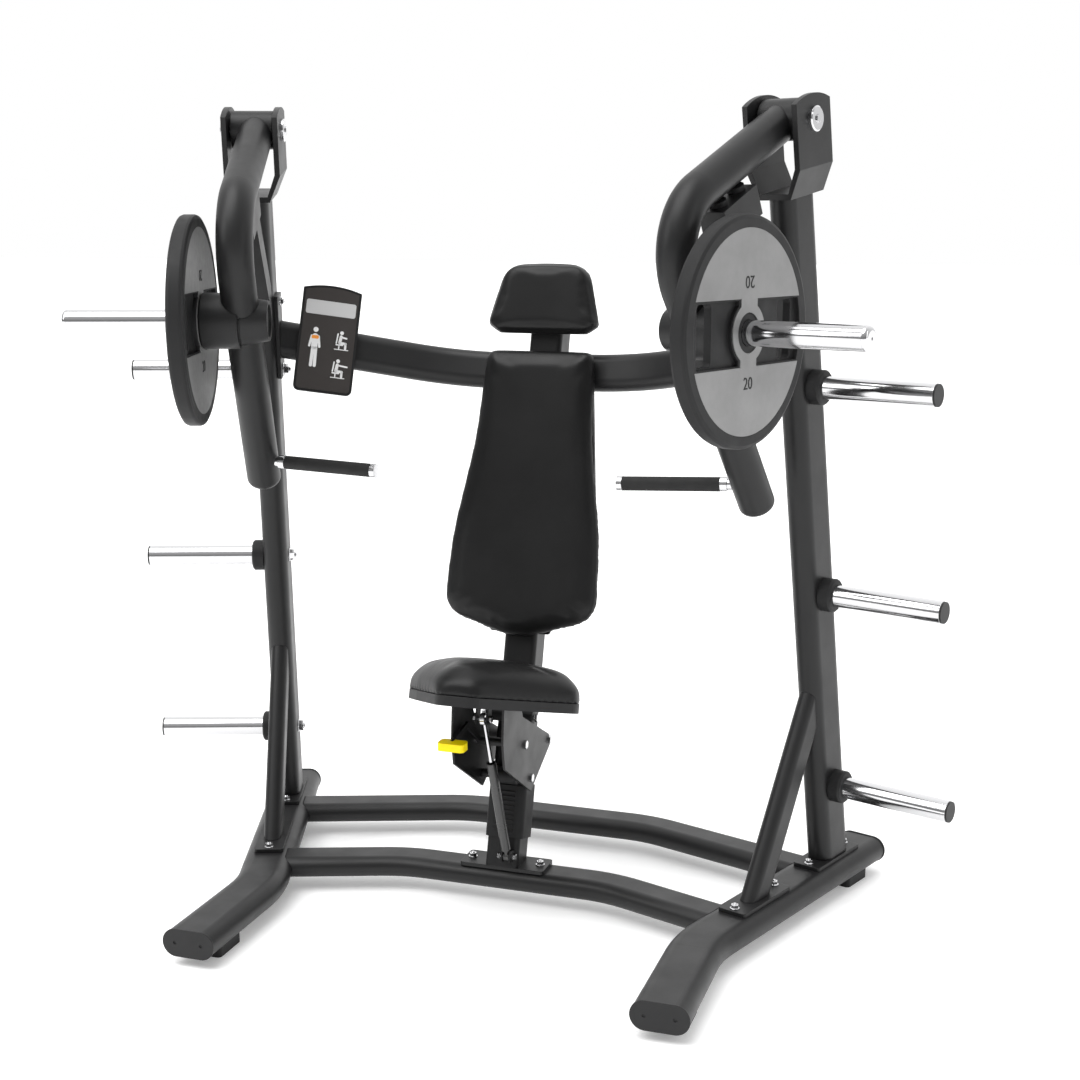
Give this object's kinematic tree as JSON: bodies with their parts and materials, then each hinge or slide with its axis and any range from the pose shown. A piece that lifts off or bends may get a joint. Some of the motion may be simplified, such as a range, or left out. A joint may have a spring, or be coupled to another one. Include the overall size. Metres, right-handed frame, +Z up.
{
  "type": "chest press machine",
  "caption": "Seated chest press with toed side frames, leaning column, back pad and headrest, gas-assisted sliding seat and swinging press arms with handles and weight-plate horns.",
  "frame": {"origin": "middle of the footprint's bounding box, at floor level", "axes": "+Z up, -Y the way the sitter faces, +X the sitter's left; the frame is symmetric about X = 0"},
  "size_m": [2.021, 1.0511, 1.8316],
  "materials": {
    "coat": "satin powder coat",
    "chrome": "polished",
    "rubber": "matte",
    "black_plastic": "matte",
    "board": "covered in black sheet",
    "vinyl": "smooth satin",
    "placard": "satin",
    "lever_grip": "satin",
    "gas_spring_body": "gloss",
    "plate_face": "satin"
  },
  "bodies": {
    "frame": {"left_base_rail": "coat", "right_base_rail": "coat", "tube_end_caps": "black_plastic", "foot_pads": "rubber", "front_crossbar": "coat", "rear_crossbar": "coat", "upper_crossbar": "coat", "upper_bar_plates": "coat", "left_upright": "coat", "right_upright": "coat", "foot_plates": "coat", "left_brace": "coat", "right_brace": "coat", "left_clevis": "coat", "right_clevis": "coat", "pivot_pins": "chrome", "stop_brackets": "coat", "stop_bumpers": "rubber", "left_storage_pegs": "chrome", "right_storage_pegs": "chrome", "peg_collars": "rubber", "peg_end_caps": "black_plastic", "frame_bolts": "chrome", "seat_column": "coat", "column_base_plate": "coat", "column_sleeve": "rubber", "pad_brackets": "coat", "backrest_board": "board", "backrest_cushion": "vinyl", "headrest_board": "board", "headrest_cushion": "vinyl", "placard_frame": "coat", "placard_panel": "placard"},
    "seat_carriage": {"seat_side_plates": "coat", "seat_rollers": "rubber", "seat_axles": "chrome", "seat_board": "board", "seat_cushion": "vinyl"},
    "seat_lever": {"seat_lever_bar": "coat", "seat_lever_grip": "lever_grip"},
    "gas_cylinder": {"gas_spring_cylinder": "gas_spring_body"},
    "gas_rod": {"gas_spring_rod": "chrome"},
    "left_arm": {"left_arm_tube": "coat", "left_arm_hub": "coat", "left_horn_hub": "coat", "left_horn": "chrome", "left_horn_cap": "chrome", "left_handle": "chrome", "left_handle_grip": "rubber"},
    "right_arm": {"right_arm_tube": "coat", "right_arm_hub": "coat", "right_horn_hub": "coat", "right_horn": "chrome", "right_horn_cap": "chrome", "right_handle": "chrome", "right_handle_grip": "rubber"},
    "left_plate": {"left_plate_rim": "rubber", "left_plate_disc": "plate_face"},
    "right_plate": {"right_plate_rim": "rubber", "right_plate_disc": "plate_face"}
  },
  "joints": [
    {"name": "right_arm_pivot", "type": "hinge", "parent": "frame", "child": "right_arm", "pos_m": [0.61425, 0.06477, 1.779], "axis": [-0.9397, 0.342, 0], "range_deg": [0, 45]},
    {"name": "left_arm_pivot", "type": "hinge", "parent": "frame", "child": "left_arm", "pos_m": [-0.61425, 0.06477, 1.779], "axis": [-0.9397, -0.342, 0], "range_deg": [0, 45]},
    {"name": "right_plate_lift_off", "type": "slide", "parent": "right_arm", "child": "right_plate", "axis": [0.9397, -0.342, 0], "range_m": [0, 0.34]},
    {"name": "left_plate_lift_off", "type": "slide", "parent": "left_arm", "child": "left_plate", "axis": [-0.9397, -0.342, 0], "range_m": [0, 0.34]},
    {"name": "seat_slide", "type": "slide", "parent": "frame", "child": "seat_carriage", "axis": [0, 0.2652, 0.9642], "range_m": [0, 0.14]},
    {"name": "seat_lever_pivot", "type": "hinge", "parent": "seat_carriage", "child": "seat_lever", "pos_m": [-0.046, 0.00136, 0.39795], "axis": [-1, 0, 0], "range_deg": [0, 8], "stiffness_Nm_per_rad": 4, "springref_deg": -20.05},
    {"name": "gas_cylinder_pivot", "type": "hinge", "parent": "frame", "child": "gas_cylinder", "pos_m": [0.019, -0.00073, 0.12264], "axis": [-1, 0, 0], "range_deg": [0, 8.5]},
    {"name": "gas_rod_slide", "type": "slide", "parent": "gas_cylinder", "child": "gas_rod", "axis": [-0.0509, -0.2603, 0.9642], "range_m": [0, 0.128]}
  ],
  "couplings": [
    {"joint": "gas_cylinder_pivot", "follows": "seat_slide", "rad_per_m": 1.0218},
    {"joint": "gas_rod_slide", "follows": "seat_slide", "ratio": 0.89925}
  ]
}
